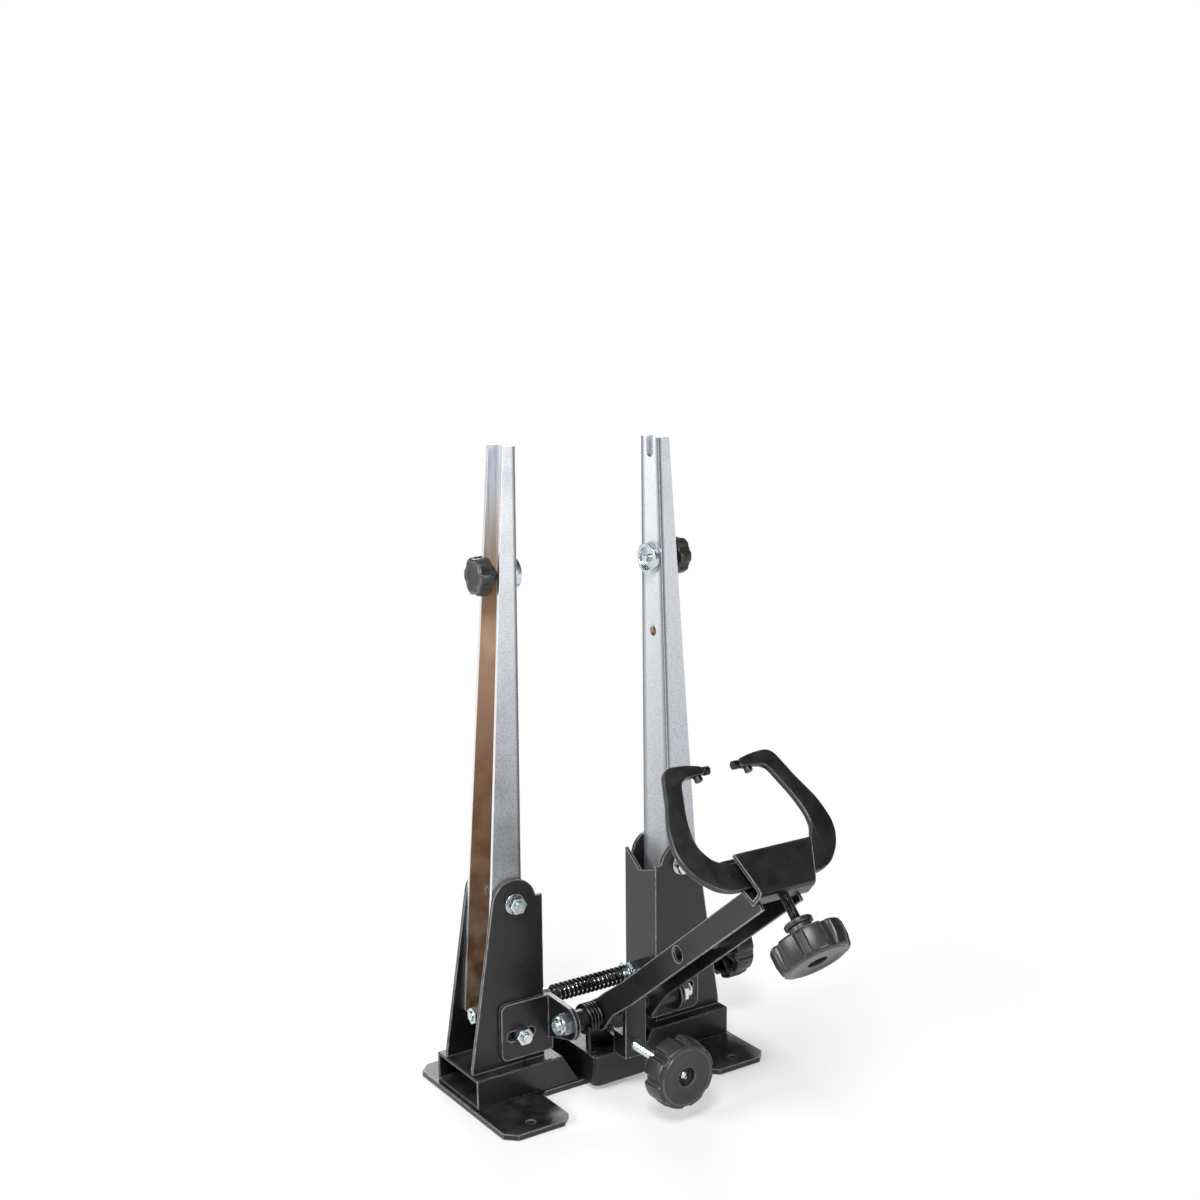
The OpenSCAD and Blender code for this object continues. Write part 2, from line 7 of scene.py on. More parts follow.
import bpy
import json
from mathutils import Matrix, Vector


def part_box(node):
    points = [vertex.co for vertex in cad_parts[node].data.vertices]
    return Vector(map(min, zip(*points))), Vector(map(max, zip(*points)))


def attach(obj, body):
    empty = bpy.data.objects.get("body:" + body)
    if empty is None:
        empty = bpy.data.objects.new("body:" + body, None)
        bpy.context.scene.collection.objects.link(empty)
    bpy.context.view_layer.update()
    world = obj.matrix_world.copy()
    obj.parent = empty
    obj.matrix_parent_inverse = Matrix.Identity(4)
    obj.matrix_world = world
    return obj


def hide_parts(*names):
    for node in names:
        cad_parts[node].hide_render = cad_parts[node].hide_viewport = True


bl_info = {
    "name": "Wheel truing stand finishes",
    "version": (1, 0, 0),
    "blender": (4, 5, 0),
    "location": "View3D > Sidebar > Stand",
    "description": "Builds the detailed pieces and materials of a wheel truing stand",
    "category": "Object",
}

import json
import math

import bmesh
import bpy
import numpy as np
from mathutils import Vector

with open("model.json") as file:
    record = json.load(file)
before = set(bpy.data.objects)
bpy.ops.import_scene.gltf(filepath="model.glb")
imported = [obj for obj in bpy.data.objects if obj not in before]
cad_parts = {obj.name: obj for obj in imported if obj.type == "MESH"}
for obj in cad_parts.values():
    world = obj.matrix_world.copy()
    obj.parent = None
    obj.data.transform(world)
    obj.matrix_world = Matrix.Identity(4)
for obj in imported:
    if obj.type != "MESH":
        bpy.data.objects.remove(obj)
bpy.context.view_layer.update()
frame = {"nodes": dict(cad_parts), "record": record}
NODES = frame["nodes"]
BODY_OF = {
    node: body
    for body, nodes in frame["record"]["behaviour"]["bodies"].items()
    for node in nodes
}
SLOT_OF = {row["node"]: row["material_slot"] for row in frame["record"]["subparts"]}
MM = 0.001


# ---------------------------------------------------------------- settings

class StandSizes(bpy.types.PropertyGroup):
    """Sizes of the detail that the finished pieces carry."""

    thread_pitch: bpy.props.FloatProperty(
        name="Thread pitch", description="Distance between a thread's turns, before its screw's own factor",
        default=0.00125, unit="LENGTH")
    thread_depth: bpy.props.FloatProperty(
        name="Thread depth", description="Depth of a screw's thread",
        default=0.0007, unit="LENGTH")
    lobe_depth: bpy.props.FloatProperty(
        name="Lobe depth", description="Depth of the notches between a large knob's lobes",
        default=0.0028, unit="LENGTH")


class StandColours(bpy.types.PropertyGroup):
    """Colours of the stand's finishes."""

    coat: bpy.props.FloatVectorProperty(
        name="Powder coat", description="Black satin powder coat", subtype="COLOR",
        default=(0.0075, 0.0075, 0.008))
    plate: bpy.props.FloatVectorProperty(
        name="Plated steel", description="Plated sheet of the uprights", subtype="COLOR",
        default=(0.56, 0.58, 0.61))
    zinc: bpy.props.FloatVectorProperty(
        name="Zinc", description="Bright zinc of the nuts and screws", subtype="COLOR",
        default=(0.70, 0.74, 0.75))
    plastic: bpy.props.FloatVectorProperty(
        name="Knob plastic", description="Moulded plastic of the knobs", subtype="COLOR",
        default=(0.014, 0.014, 0.0145))
    spring: bpy.props.FloatVectorProperty(
        name="Spring steel", description="Oiled spring steel", subtype="COLOR",
        default=(0.030, 0.030, 0.032))
    floor: bpy.props.FloatVectorProperty(
        name="Floor", description="Pale studio floor", subtype="COLOR",
        default=(0.85, 0.85, 0.85))


# ---------------------------------------------------------------- surfaces

# A direction that no wire of the stand runs along for long
WIRE_UP = (0.31, 0.17, 0.93)
THREAD_STEPS = 24
THREAD_ROWS_PER_TURN = 6


def new_object(name, points, faces, smooth_angle):
    """A mesh object from an array of points and a list of faces, shaded smooth below an angle in degrees."""
    mesh = bpy.data.meshes.new(name)
    mesh.from_pydata(np.asarray(points).reshape(-1, 3).tolist(), [], faces)
    mesh.update()
    mesh.polygons.foreach_set("use_smooth", np.ones(len(mesh.polygons), bool))
    mesh.set_sharp_from_angle(angle=math.radians(smooth_angle))
    piece = bpy.data.objects.new(name, mesh)
    bpy.context.scene.collection.objects.link(piece)
    return piece


def grid_faces(rows, columns):
    """Quads of a grid whose columns close on themselves."""
    i = np.arange(rows - 1)[:, None]
    j = np.arange(columns)[None, :]
    following = (j + 1) % columns
    here, above = i * columns, (i + 1) * columns
    quads = np.stack([here + j, here + following, above + following, above + j], -1)
    return quads.reshape(-1, 4).tolist()


def capped_faces(rows, columns):
    """Quads of a grid of rings, with a flat cap on the first ring and on the last."""
    last = (rows - 1) * columns
    return grid_faces(rows, columns) + [list(range(columns - 1, -1, -1)), list(range(last, last + columns))]


def surface(name, grid, smooth_angle):
    """A closed solid from a grid of rings, capped flat at both ends."""
    return new_object(name, grid, capped_faces(*grid.shape[:2]), smooth_angle)


def unit(vectors):
    """Vectors scaled to length 1."""
    vectors = np.asarray(vectors, float)
    return vectors / np.linalg.norm(vectors, axis=-1, keepdims=True)


def place(points, origin, axis, across=(1.0, 0.0, 0.0)):
    """Points drawn along +Z moved to an origin, with +Z turned to an axis and +X kept near `across`, or
    near the world's +Z where `across` runs along the axis."""
    z = unit(axis)
    x = np.asarray(across, float)
    if abs(x @ z) > 0.9:
        x = np.array([0.0, 0.0, 1.0])
    x = unit(x - (x @ z) * z)
    y = np.cross(z, x)
    return points @ np.stack([x, y, z]) + np.asarray(origin, float)


def around(steps):
    """Angles once round a circle, without its end point."""
    return np.linspace(0, 2 * math.pi, steps, endpoint=False)


def rings(radii, angles, heights):
    """Points at (radius x cos angle, radius x sin angle, height), for arrays that broadcast to one grid."""
    radii, angles, heights = np.broadcast_arrays(radii, angles, heights)
    return np.stack([radii * np.cos(angles), radii * np.sin(angles), heights], -1)


def lathe(profile, steps=48):
    """Rings of a turned solid: each (radius, height) pair is carried once round the Z axis."""
    profile = np.asarray(profile, float)
    return rings(profile[:, :1], around(steps)[None], profile[:, 1:])


def wire(path, radius, sides):
    """A round wire: a circle carried along a path, square to the path's direction at each point."""
    tangent = unit(np.gradient(path, axis=0))
    side = unit(np.cross(tangent, WIRE_UP))
    other = np.cross(tangent, side)
    a = around(sides)[None, :, None]
    return path[:, None] + radius * (np.cos(a) * side[:, None] + np.sin(a) * other[:, None])


def thread(length, radius, pitch, depth):
    """Rings of a screw: radius = outer radius - depth x |triangle wave of (height / pitch - turn)|,
    fading to a chamfer at both ends."""
    z = np.linspace(0, length, int(length / pitch * THREAD_ROWS_PER_TURN))[:, None]
    a = around(THREAD_STEPS)[None, :]
    dip = np.abs(2 * ((z / pitch - a / (2 * math.pi)) % 1.0) - 1)
    chamfer = np.clip(1 - np.minimum(z, length - z) / pitch, 0, 1)
    return rings(radius - depth * np.maximum(dip, chamfer), a, z)


def helix(radius, rise, turns, per_turn=28):
    """Points of a coil: radius x (cos a, sin a) with the height in step with the angle a."""
    end = 2 * math.pi * turns
    a = np.linspace(0, end, int(turns * per_turn))
    return rings(radius, a, rise * a / end)


def closed_curve(corners, per_corner, reach):
    """A smooth closed outline: at each corner a quadratic curve runs between the points that lie a share
    `reach` of the way along both neighbouring sides."""
    here = np.asarray(corners, float)[:, None]
    start = here + (np.roll(here, 1, axis=0) - here) * reach
    end = here + (np.roll(here, -1, axis=0) - here) * reach
    t = np.linspace(0, 1, per_corner)[None, :, None]
    return ((1 - t) ** 2 * start + 2 * t * (1 - t) * here + t ** 2 * end).reshape(-1, 2)


def inward_of(outline):
    """Unit vectors that point to the left of a closed outline's direction at each of its points."""
    along = unit(unit(outline - np.roll(outline, 1, axis=0)) + unit(np.roll(outline, -1, axis=0) - outline))
    return np.stack([-along[:, 1], along[:, 0]], -1)


# ---------------------------------------------------------------- shader building blocks

def new_group(name, inputs, outputs):
    """An empty shader node group with named float sockets."""
    group = bpy.data.node_groups.new(name, "ShaderNodeTree")
    for socket, default in inputs.items():
        made = group.interface.new_socket(socket, in_out="INPUT", socket_type="NodeSocketFloat")
        made.default_value = default
    for socket in outputs:
        group.interface.new_socket(socket, in_out="OUTPUT", socket_type="NodeSocketFloat")
    return group, group.nodes.new("NodeGroupInput").outputs, group.nodes.new("NodeGroupOutput").inputs


def add(tree, kind, settings=None, **links):
    """A node with its settings; each keyword names an input socket, by name or as _number, and gives its
    value or the socket that feeds it."""
    node = tree.nodes.new(kind)
    for key, value in (settings or {}).items():
        setattr(node, key, value)
    for key, value in links.items():
        socket = node.inputs[int(key[1:]) if key[0] == "_" else key.replace("_", " ")]
        if isinstance(value, bpy.types.NodeSocket):
            tree.links.new(value, socket)
        else:
            socket.default_value = value
    return node


def maths(tree, operation, a, b=0.0, clamp=False):
    """The output of one Math node."""
    return add(tree, "ShaderNodeMath", {"operation": operation, "use_clamp": clamp}, _0=a, _1=b).outputs[0]


def ramp(tree, value, low, high, start=0.0, end=1.0):
    """A value stretched so that low becomes start and high becomes end, and held there beyond them."""
    return add(tree, "ShaderNodeMapRange", {"clamp": True}, Value=value, From_Min=low, From_Max=high,
               To_Min=start, To_Max=end).outputs[0]


def mix(tree, mask, a, b):
    """A colour that goes from a to b as the mask goes from 0 to 1."""
    node = add(tree, "ShaderNodeMix", {"data_type": "RGBA"}, _0=mask)
    for socket, value in ((node.inputs[6], a), (node.inputs[7], b)):
        if isinstance(value, bpy.types.NodeSocket):
            tree.links.new(value, socket)
        else:
            socket.default_value = (*tuple(value)[:3], 1.0)
    return node.outputs[2]


def scaled(colour, factor):
    """A colour made lighter or darker by one factor."""
    return tuple(min(1.0, channel * factor) for channel in colour)


def edge_wear_and_highlight_group():
    """Mask of rubbed edges, partly real wear and partly a painted edge highlight: the angle between a rounded
    normal and the true one, broken up by noise.
    """
    group, given, out = new_group("edge_wear_and_highlight", {"Radius": 0.0008, "Amount": 0.5, "Scale": 300.0}, ["Mask"])
    rounded = add(group, "ShaderNodeBevel", {"samples": 6}, Radius=given["Radius"]).outputs[0]
    normal = add(group, "ShaderNodeNewGeometry").outputs["Normal"]
    agreement = add(group, "ShaderNodeVectorMath", {"operation": "DOT_PRODUCT"}, _0=rounded, _1=normal)
    bend = ramp(group, maths(group, "SUBTRACT", 1.0, agreement.outputs["Value"]), 0.012, 0.10)
    coords = add(group, "ShaderNodeTexCoord").outputs["Object"]
    noise = add(group, "ShaderNodeTexNoise", Vector=coords, Scale=given["Scale"], Detail=4.0)
    patch = ramp(group, noise.outputs[0], 0.22, 0.52)
    # One mask for rubbed edges and for painted edge highlights
    wear_and_highlight = maths(group, "MULTIPLY", maths(group, "MULTIPLY", bend, patch), given["Amount"], True)
    group.links.new(wear_and_highlight, out["Mask"])


def grain_group():
    """Fine and coarse unevenness of a surface: Fine for bumps, Cloud for slow changes, Specks for dots."""
    group, given, out = new_group("surface_grain", {"Fine Scale": 1500.0, "Cloud Scale": 25.0},
                                  ["Fine", "Cloud", "Specks"])
    coords = add(group, "ShaderNodeTexCoord").outputs["Object"]
    fine = add(group, "ShaderNodeTexNoise", Vector=coords, Scale=given["Fine Scale"], Detail=3.0)
    cloud = add(group, "ShaderNodeTexNoise", Vector=coords, Scale=given["Cloud Scale"], Detail=5.0)
    cells = add(group, "ShaderNodeTexVoronoi", Vector=coords, Scale=given["Fine Scale"])
    group.links.new(fine.outputs[0], out["Fine"])
    group.links.new(cloud.outputs[0], out["Cloud"])
    group.links.new(ramp(group, cells.outputs["Distance"], 0.05, 0.5), out["Specks"])


def dust_group():
    """Mask of dust: faces that look up, broken up by noise."""
    group, given, out = new_group("dust", {"Amount": 0.2, "Scale": 60.0}, ["Mask"])
    normal = add(group, "ShaderNodeNewGeometry").outputs["Normal"]
    up = add(group, "ShaderNodeSeparateXYZ", Vector=normal).outputs["Z"]
    coords = add(group, "ShaderNodeTexCoord").outputs["Object"]
    noise = add(group, "ShaderNodeTexNoise", Vector=coords, Scale=given["Scale"], Detail=6.0)
    lying = maths(group, "MULTIPLY", ramp(group, up, 0.3, 1.0), ramp(group, noise.outputs[0], 0.35, 0.75))
    group.links.new(maths(group, "MULTIPLY", lying, given["Amount"], True), out["Mask"])


def use(tree, group, **values):
    """The outputs of a shared group placed in a material with its own values."""
    return add(tree, "ShaderNodeGroup", {"node_tree": bpy.data.node_groups[group]}, **values).outputs


# ---------------------------------------------------------------- materials

# Grey of rubbed coat edges, kept light as a painted highlight of edges catching the light
WORN_AND_HIGHLIGHT_GREY = (0.34, 0.34, 0.345)
DUST_GREY = (0.30, 0.29, 0.28)
ZINC_TINT = (0.50, 0.62, 0.64)
# Worn plating bared to steel, made bright also as a painted edge highlight
BARE_AND_HIGHLIGHT_STEEL = (0.90, 0.90, 0.91)
CUT_STEEL = (0.92, 0.92, 0.93)
# The inside of the channels, from the darkest bronze at the bottom to the slate at the top
BRONZE_DARK = (0.080, 0.042, 0.020)
BRONZE = (0.25, 0.14, 0.080)
BRONZE_PALE = (0.52, 0.37, 0.27)
BRONZE_CLOUD = (0.34, 0.25, 0.18)
SLATE_DARK = (0.34, 0.38, 0.43)
SLATE = (0.56, 0.61, 0.67)
# Shape of the uprights' channels: the web leans in as it rises, and the inner half width tapers
WEB_X_AT_FLOOR = 0.0766
WEB_LEAN = 0.01746
TAPER_Z = (0.185, 0.532)
TAPER_HALF_WIDTH = (0.0165, 0.0093)
# Heights over which the channels' colours change; the clouds fade upwards
FACE_BRIGHTENS_Z = (0.16, 0.46)
BRONZE_WARMS_Z = (0.06, 0.26)
BRONZE_PALES_Z = (0.26, 0.37)
CLOUDS_FADE_Z = (0.52, 0.44)
SLATE_BEGINS_Z = (0.44, 0.53)
SLATE_SLANT = 3.0
# Darkest and brightest spangle of the outer faces as factors on the plating's colour, and the factor of the
# painted shade on the bends
LOW_SPANGLE = (0.34, 0.80)
HIGH_SPANGLE = (1.05, 1.38)
BEND_SHADE_FACTOR = 0.36
# Products of a face's normal and its place beyond which it counts as looking along X, and along Y
ALONG_X = 0.03
ALONG_Y = 0.004
# Painted shade along the bends: shares of the half width on the web, and distances from the web on the
# flanges
WEB_BEND_SHADE = (0.74, 1.12)
FLANGE_BEND_SHADE = (0.0034, 0.0014)
# How far the metallic shine is taken back inside the channel and on the web's outer side
INSIDE_DULL = 0.75
WEB_DULL = 0.55


def start_material(name, **constants):
    """A material with one Principled BSDF whose constant inputs are set on its own sockets."""
    material = bpy.data.materials.new(name)
    material.use_nodes = True
    shader = material.node_tree.nodes["Principled BSDF"]
    for key, value in constants.items():
        shader.inputs[key.replace("_", " ")].default_value = value
    return material, material.node_tree, shader


def finish_surface(tree, shader, colour, grains, roughness, bump_strength, bump_height):
    """Feeds a material's colour, its gloss that varies with the clouds, and its fine bumps."""
    tree.links.new(colour, shader.inputs["Base Color"])
    tree.links.new(ramp(tree, grains["Cloud"], 0.3, 0.7, *roughness), shader.inputs["Roughness"])
    bump = add(tree, "ShaderNodeBump", Height=grains["Fine"], Strength=bump_strength, Distance=bump_height)
    tree.links.new(bump.outputs[0], shader.inputs["Normal"])


def coat_material(name, colour, wear_and_highlight_amount, roughness, grain):
    """Satin powder coat: orange-peel bumps, uneven gloss, edges rubbed grey and lightened as a painted
    highlight, and a little dust.
    """
    material, tree, shader = start_material(name, Specular_IOR_Level=0.5)
    grains = use(tree, "surface_grain", Fine_Scale=grain, Cloud_Scale=18.0)
    wear_and_highlight = use(tree, "edge_wear_and_highlight", Radius=0.0019, Amount=wear_and_highlight_amount, Scale=160.0)["Mask"]
    dusty = use(tree, "dust", Amount=0.10, Scale=70.0)["Mask"]
    body = mix(tree, ramp(tree, grains["Cloud"], 0.3, 0.7), scaled(colour, 0.8), scaled(colour, 1.35))
    # Edges rubbed grey and lightened as a painted edge highlight, then dust on top
    body = mix(tree, dusty, mix(tree, wear_and_highlight, body, WORN_AND_HIGHLIGHT_GREY), DUST_GREY)
    finish_surface(tree, shader, body, grains, roughness, 0.22, 0.0003)
    return material


def metal_material(name, colour, tint, roughness, grain):
    """Plated metal: clouds of a second tint, uneven gloss, bright worn edges that are partly a painted
    highlight, and fine grain.
    """
    material, tree, shader = start_material(name, Metallic=1.0)
    grains = use(tree, "surface_grain", Fine_Scale=grain, Cloud_Scale=140.0)
    wear_and_highlight = use(tree, "edge_wear_and_highlight", Radius=0.0006, Amount=0.8, Scale=400.0)["Mask"]
    body = mix(tree, ramp(tree, grains["Cloud"], 0.42, 0.66), colour, tint)
    # Worn edges brightened, partly as a painted edge highlight
    body = mix(tree, wear_and_highlight, body, scaled(colour, 1.25))
    finish_surface(tree, shader, body, grains, roughness, 0.10, 0.0002)
    return material


def channel_masks(tree, at, facing):
    """Masks over a leaning channel, from a point's place and normal: its distance from the web's outer
    side, the channel's inside, its cut edges, the web's outer side, and the painted shade at the bends beside
    the web."""
    leaning = maths(tree, "SUBTRACT", WEB_X_AT_FLOOR, maths(tree, "MULTIPLY", at["Z"], WEB_LEAN))
    from_web = maths(tree, "SUBTRACT", maths(tree, "ABSOLUTE", at["X"]), leaning)
    off_middle = maths(tree, "ABSOLUTE", at["Y"])
    half_width = ramp(tree, at["Z"], *TAPER_Z, *TAPER_HALF_WIDTH)
    # Both are positive where a face looks away from the middle of the stand
    outward = maths(tree, "MULTIPLY", facing["X"], at["X"])
    sideways = maths(tree, "MULTIPLY", facing["Y"], at["Y"])
    edges = maths(tree, "GREATER_THAN", outward, ALONG_X)
    web = maths(tree, "LESS_THAN", outward, -ALONG_X)
    web_inside = maths(tree, "MULTIPLY", maths(tree, "LESS_THAN", off_middle, half_width), edges)
    inside = maths(tree, "MAXIMUM", web_inside, maths(tree, "LESS_THAN", sideways, -ALONG_Y))
    across = maths(tree, "DIVIDE", off_middle, half_width)
    # Painted shade: the web darkens towards its bends, and the flanges darken next to the web
    web_bend_shade = maths(tree, "MULTIPLY", web, ramp(tree, across, *WEB_BEND_SHADE))
    flange_bend_shade = maths(tree, "MULTIPLY", maths(tree, "GREATER_THAN", sideways, ALONG_Y),
                        ramp(tree, from_web, *FLANGE_BEND_SHADE))
    return from_web, inside, edges, web, maths(tree, "MAXIMUM", web_bend_shade, flange_bend_shade)


def channel_inside(tree, place_in, height, from_web, clouds):
    """Colour of a channel's inside: bronze that pales with height and carries clouds, and streaky slate
    blue above it, which reaches lower along the flanges' free edges than along the web."""
    bronze = mix(tree, ramp(tree, height, *BRONZE_WARMS_Z), BRONZE_DARK, BRONZE)
    bronze = mix(tree, ramp(tree, height, *BRONZE_PALES_Z), bronze, BRONZE_PALE)
    clouded = maths(tree, "MULTIPLY", ramp(tree, clouds, 0.40, 0.85), ramp(tree, height, *CLOUDS_FADE_Z))
    bronze = mix(tree, clouded, bronze, BRONZE_CLOUD)
    drawn_out = add(tree, "ShaderNodeVectorMath", {"operation": "MULTIPLY"}, _0=place_in, _1=(1.0, 1.0, 0.03))
    streaks = add(tree, "ShaderNodeTexNoise", Vector=drawn_out.outputs[0], Scale=420.0, Detail=3.0)
    slate = mix(tree, ramp(tree, streaks.outputs[0], 0.35, 0.65), SLATE_DARK, SLATE)
    slanted = maths(tree, "ADD", height, maths(tree, "MULTIPLY", from_web, SLATE_SLANT))
    return mix(tree, ramp(tree, slanted, *SLATE_BEGINS_Z), bronze, slate)


def plated_material(name, colour):
    """Plated sheet: spangle that brightens with height, painted shade along the bends, bright cut edges, and
    a tinted and duller inside of the channel."""
    material, tree, shader = start_material(name, Metallic=1.0)
    grains = use(tree, "surface_grain", Fine_Scale=620.0, Cloud_Scale=55.0)
    wear_and_highlight = use(tree, "edge_wear_and_highlight", Radius=0.0009, Amount=1.0, Scale=500.0)["Mask"]
    coords = add(tree, "ShaderNodeTexCoord").outputs
    at = add(tree, "ShaderNodeSeparateXYZ", Vector=coords["Object"]).outputs
    facing = add(tree, "ShaderNodeSeparateXYZ", Vector=coords["Normal"]).outputs
    from_web, inside, edges, web, bend_shade = channel_masks(tree, at, facing)
    spangle = ramp(tree, grains["Specks"], 0.1, 0.9)
    low_face, high_face = (mix(tree, spangle, *(scaled(colour, factor) for factor in factors))
                           for factors in (LOW_SPANGLE, HIGH_SPANGLE))
    face = mix(tree, ramp(tree, at["Z"], *FACE_BRIGHTENS_Z), low_face, high_face)
    # Painted shade along the bends between web and flanges
    face = mix(tree, bend_shade, face, scaled(colour, BEND_SHADE_FACTOR))
    body = mix(tree, edges, face, CUT_STEEL)
    tinted = channel_inside(tree, coords["Object"], at["Z"], from_web, grains["Cloud"])
    # Worn edges bared to bright steel, partly a painted edge highlight
    body = mix(tree, wear_and_highlight, mix(tree, inside, body, tinted), BARE_AND_HIGHLIGHT_STEEL)
    dull = maths(tree, "MAXIMUM", maths(tree, "MULTIPLY", inside, INSIDE_DULL),
                 maths(tree, "MULTIPLY", web, WEB_DULL))
    tree.links.new(maths(tree, "SUBTRACT", 1.0, dull), shader.inputs["Metallic"])
    finish_surface(tree, shader, body, grains, (0.30, 0.44), 0.12, 0.0002)
    return material


def build_materials(colours):
    """All finishes by slot name, with the node groups that they share."""
    edge_wear_and_highlight_group()
    grain_group()
    dust_group()
    return {
        "black_powder_coat": coat_material("finish_black_powder_coat", colours.coat, 0.85,
                                           (0.22, 0.36), 1100.0),
        "black_plastic": coat_material("finish_black_plastic", colours.plastic, 0.35,
                                       (0.27, 0.40), 1900.0),
        "plated_steel": plated_material("finish_plated_steel", colours.plate),
        "zinc_plate": metal_material("finish_zinc_plate", colours.zinc, ZINC_TINT, (0.18, 0.34), 900.0),
        "spring_steel": metal_material("finish_spring_steel", colours.spring, scaled(colours.spring, 2.2),
                                       (0.25, 0.40), 1400.0),
    }


# ---------------------------------------------------------------- pieces kept from the CAD

# Rounding of each piece's edges
SHEET_EDGES = {
    "base_plate": 0.0008, "base_tube_left": 0.0010, "base_tube_right": 0.0010, "centre_box": 0.0012,
    "stop_plate": 0.0008, "bracket_left": 0.0008, "bracket_right": 0.0008, "slot_plate_left": 0.0009,
    "slot_plate_right": 0.0009, "upright_left": 0.0008, "upright_right": 0.0008, "arm": 0.0007,
    "screw_block": 0.0010, "housing": 0.0007, "shaft_spacers": 0.0008,
}
FASTENER_EDGES = {
    "slot_nuts": 0.0006, "pivot_washers": 0.0004, "pivot_nuts": 0.0006, "pivot_bolts": 0.0005,
    "arm_shaft": 0.0006, "arm_shaft_nuts": 0.0007, "slot_studs": 0.0005, "width_nuts": 0.0007,
    "width_sleeve": 0.0006, "width_washer": 0.0005, "ring_nut_left": 0.0008, "ring_nut_right": 0.0008,
    "knob_spacer_left": 0.0006, "knob_spacer_right": 0.0006, "small_stud_left": 0.0005,
    "small_stud_right": 0.0005, "stop_pin": 0.0006, "jaw_pins": 0.0006, "jaw_tip_left": 0.0005,
    "jaw_tip_right": 0.0005, "height_screw_tip": 0.0004, "caliper_cone": 0.0005,
    "trunnion_left": 0.0006, "trunnion_right": 0.0006,
}
# Segments of the rounding, and the angle in degrees beyond which an edge is rounded
SHEET_ROUNDING = (3, 32.0)
FASTENER_ROUNDING = (2, 25.0)
# Clean-up of the CAD meshes: distance of doubles, and the angle in degrees below which faces are joined
MERGE_DISTANCE = 2e-6
FLAT_ANGLE = 0.6


def dress(piece, node):
    """Gives a finished piece its material and slot, lets it ride with its node's body and hides the node."""
    slot = SLOT_OF[node]
    piece.data.materials.clear()
    piece.data.materials.append(bpy.data.materials["finish_" + slot])
    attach(piece, BODY_OF[node])
    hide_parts(node)


def softened(node, radius, segments, angle):
    """A copy of a CAD node with its doubles merged and flat faces joined, whose edges sharper than an angle
    in degrees are rounded."""
    name = node + "_finished"
    mesh = NODES[node].data.copy()
    mesh.name = name
    work = bmesh.new()
    work.from_mesh(mesh)
    bmesh.ops.remove_doubles(work, verts=work.verts, dist=MERGE_DISTANCE)
    bmesh.ops.dissolve_limit(work, angle_limit=math.radians(FLAT_ANGLE), verts=work.verts, edges=work.edges)
    work.to_mesh(mesh)
    work.free()
    mesh.polygons.foreach_set("use_smooth", np.ones(len(mesh.polygons), bool))
    piece = bpy.data.objects.new(name, mesh)
    bpy.context.scene.collection.objects.link(piece)
    rounding = piece.modifiers.new("rounding", "BEVEL")
    rounding.width = radius
    rounding.segments = segments
    rounding.limit_method = "ANGLE"
    rounding.angle_limit = math.radians(angle)
    rounding.use_clamp_overlap = True
    flattening = piece.modifiers.new("flattening", "WEIGHTED_NORMAL")
    flattening.keep_sharp = True
    dress(piece, node)


class STAND_OT_sheets(bpy.types.Operator):
    """Folded sheet, plates and tubes, with their edges rounded"""
    bl_idname = "stand.sheets"
    bl_label = "Sheet pieces"

    def execute(self, context):
        for node, radius in SHEET_EDGES.items():
            softened(node, radius, *SHEET_ROUNDING)
        return {"FINISHED"}


class STAND_OT_fasteners(bpy.types.Operator):
    """Nuts, washers, studs and pins, with their edges broken"""
    bl_idname = "stand.fasteners"
    bl_label = "Fasteners"

    def execute(self, context):
        for node, radius in FASTENER_EDGES.items():
            softened(node, radius, *FASTENER_ROUNDING)
        return {"FINISHED"}


# ---------------------------------------------------------------- knobs

WIDTH_AXIS_Z = 0.070
HEIGHT_AXIS_Z = 0.043
# The caliper is drawn from its knob's face, along the screw's axis
CALIPER_TILT = math.radians(45)
CALIPER_AXIS = np.array([0.0, math.sin(CALIPER_TILT), math.cos(CALIPER_TILT)])
CALIPER_BACK = np.array([0.0, math.cos(CALIPER_TILT), -math.sin(CALIPER_TILT)])
CALIPER_FACE = np.array([0.0, -0.302, 0.190])

# Lengths in metres. wall is the hollow's radius as a share of the knob's, and notch_depth a factor on the
# lobe depth. A notch begins where cos(lobes x angle) is notch_start and is full notch_slope further on.
LARGE_KNOB = {
    "radius": 0.0280, "height": 0.021, "hole": 0.0076, "sunk": 0.0062, "neck": 0.0110, "cavity": 0.010,
    "wall": 0.80, "lobes": 8, "notch_depth": 1.0, "notch_start": 0.35, "notch_slope": 0.40,
}
SMALL_KNOB = {
    "radius": 0.0160, "height": 0.012, "hole": 0.0085, "sunk": 0.0014, "neck": 0.0080, "cavity": 0.005,
    "wall": 0.66, "lobes": 6, "notch_depth": 1.8, "notch_start": -0.35, "notch_slope": 1.20,
}
KNOB_STEPS = 192
KNOB_SHARP_ANGLE = 35.0
# Lengths of the necks behind the grips
WIDTH_NECK = 0.013
FRONT_NECK = 0.012
SMALL_NECK = 0.006
# Radius of the rim's rounding and width of a rib on a knob of the reference radius, with which they scale
REFERENCE_RADIUS = 0.027
KNOB_RIM = 0.0022
RIB_WIDTH = 0.0018
# Levels below the front of the raised ring on a knob's face
DISH_LEVEL = 0.0004
RING_FOOT_LEVEL = 0.0007
FACE_LEVEL = 0.0008
# Chamfer of a knob's hole, and thickness of the wall between the hole and the hollow at its floor
HOLE_CHAMFER = 0.0006
HOLE_WALL = 0.001
# Radii of the raised ring's four edges, and of the face, as shares of the knob's radius
RING_SHARES = (0.58, 0.61, 0.80, 0.83)
FACE_SHARE = 0.955
# Heights between which a knob is widest, as shares of its height
WIDEST_SHARES = (0.45, 0.75)
BACK_LIP = 0.0012
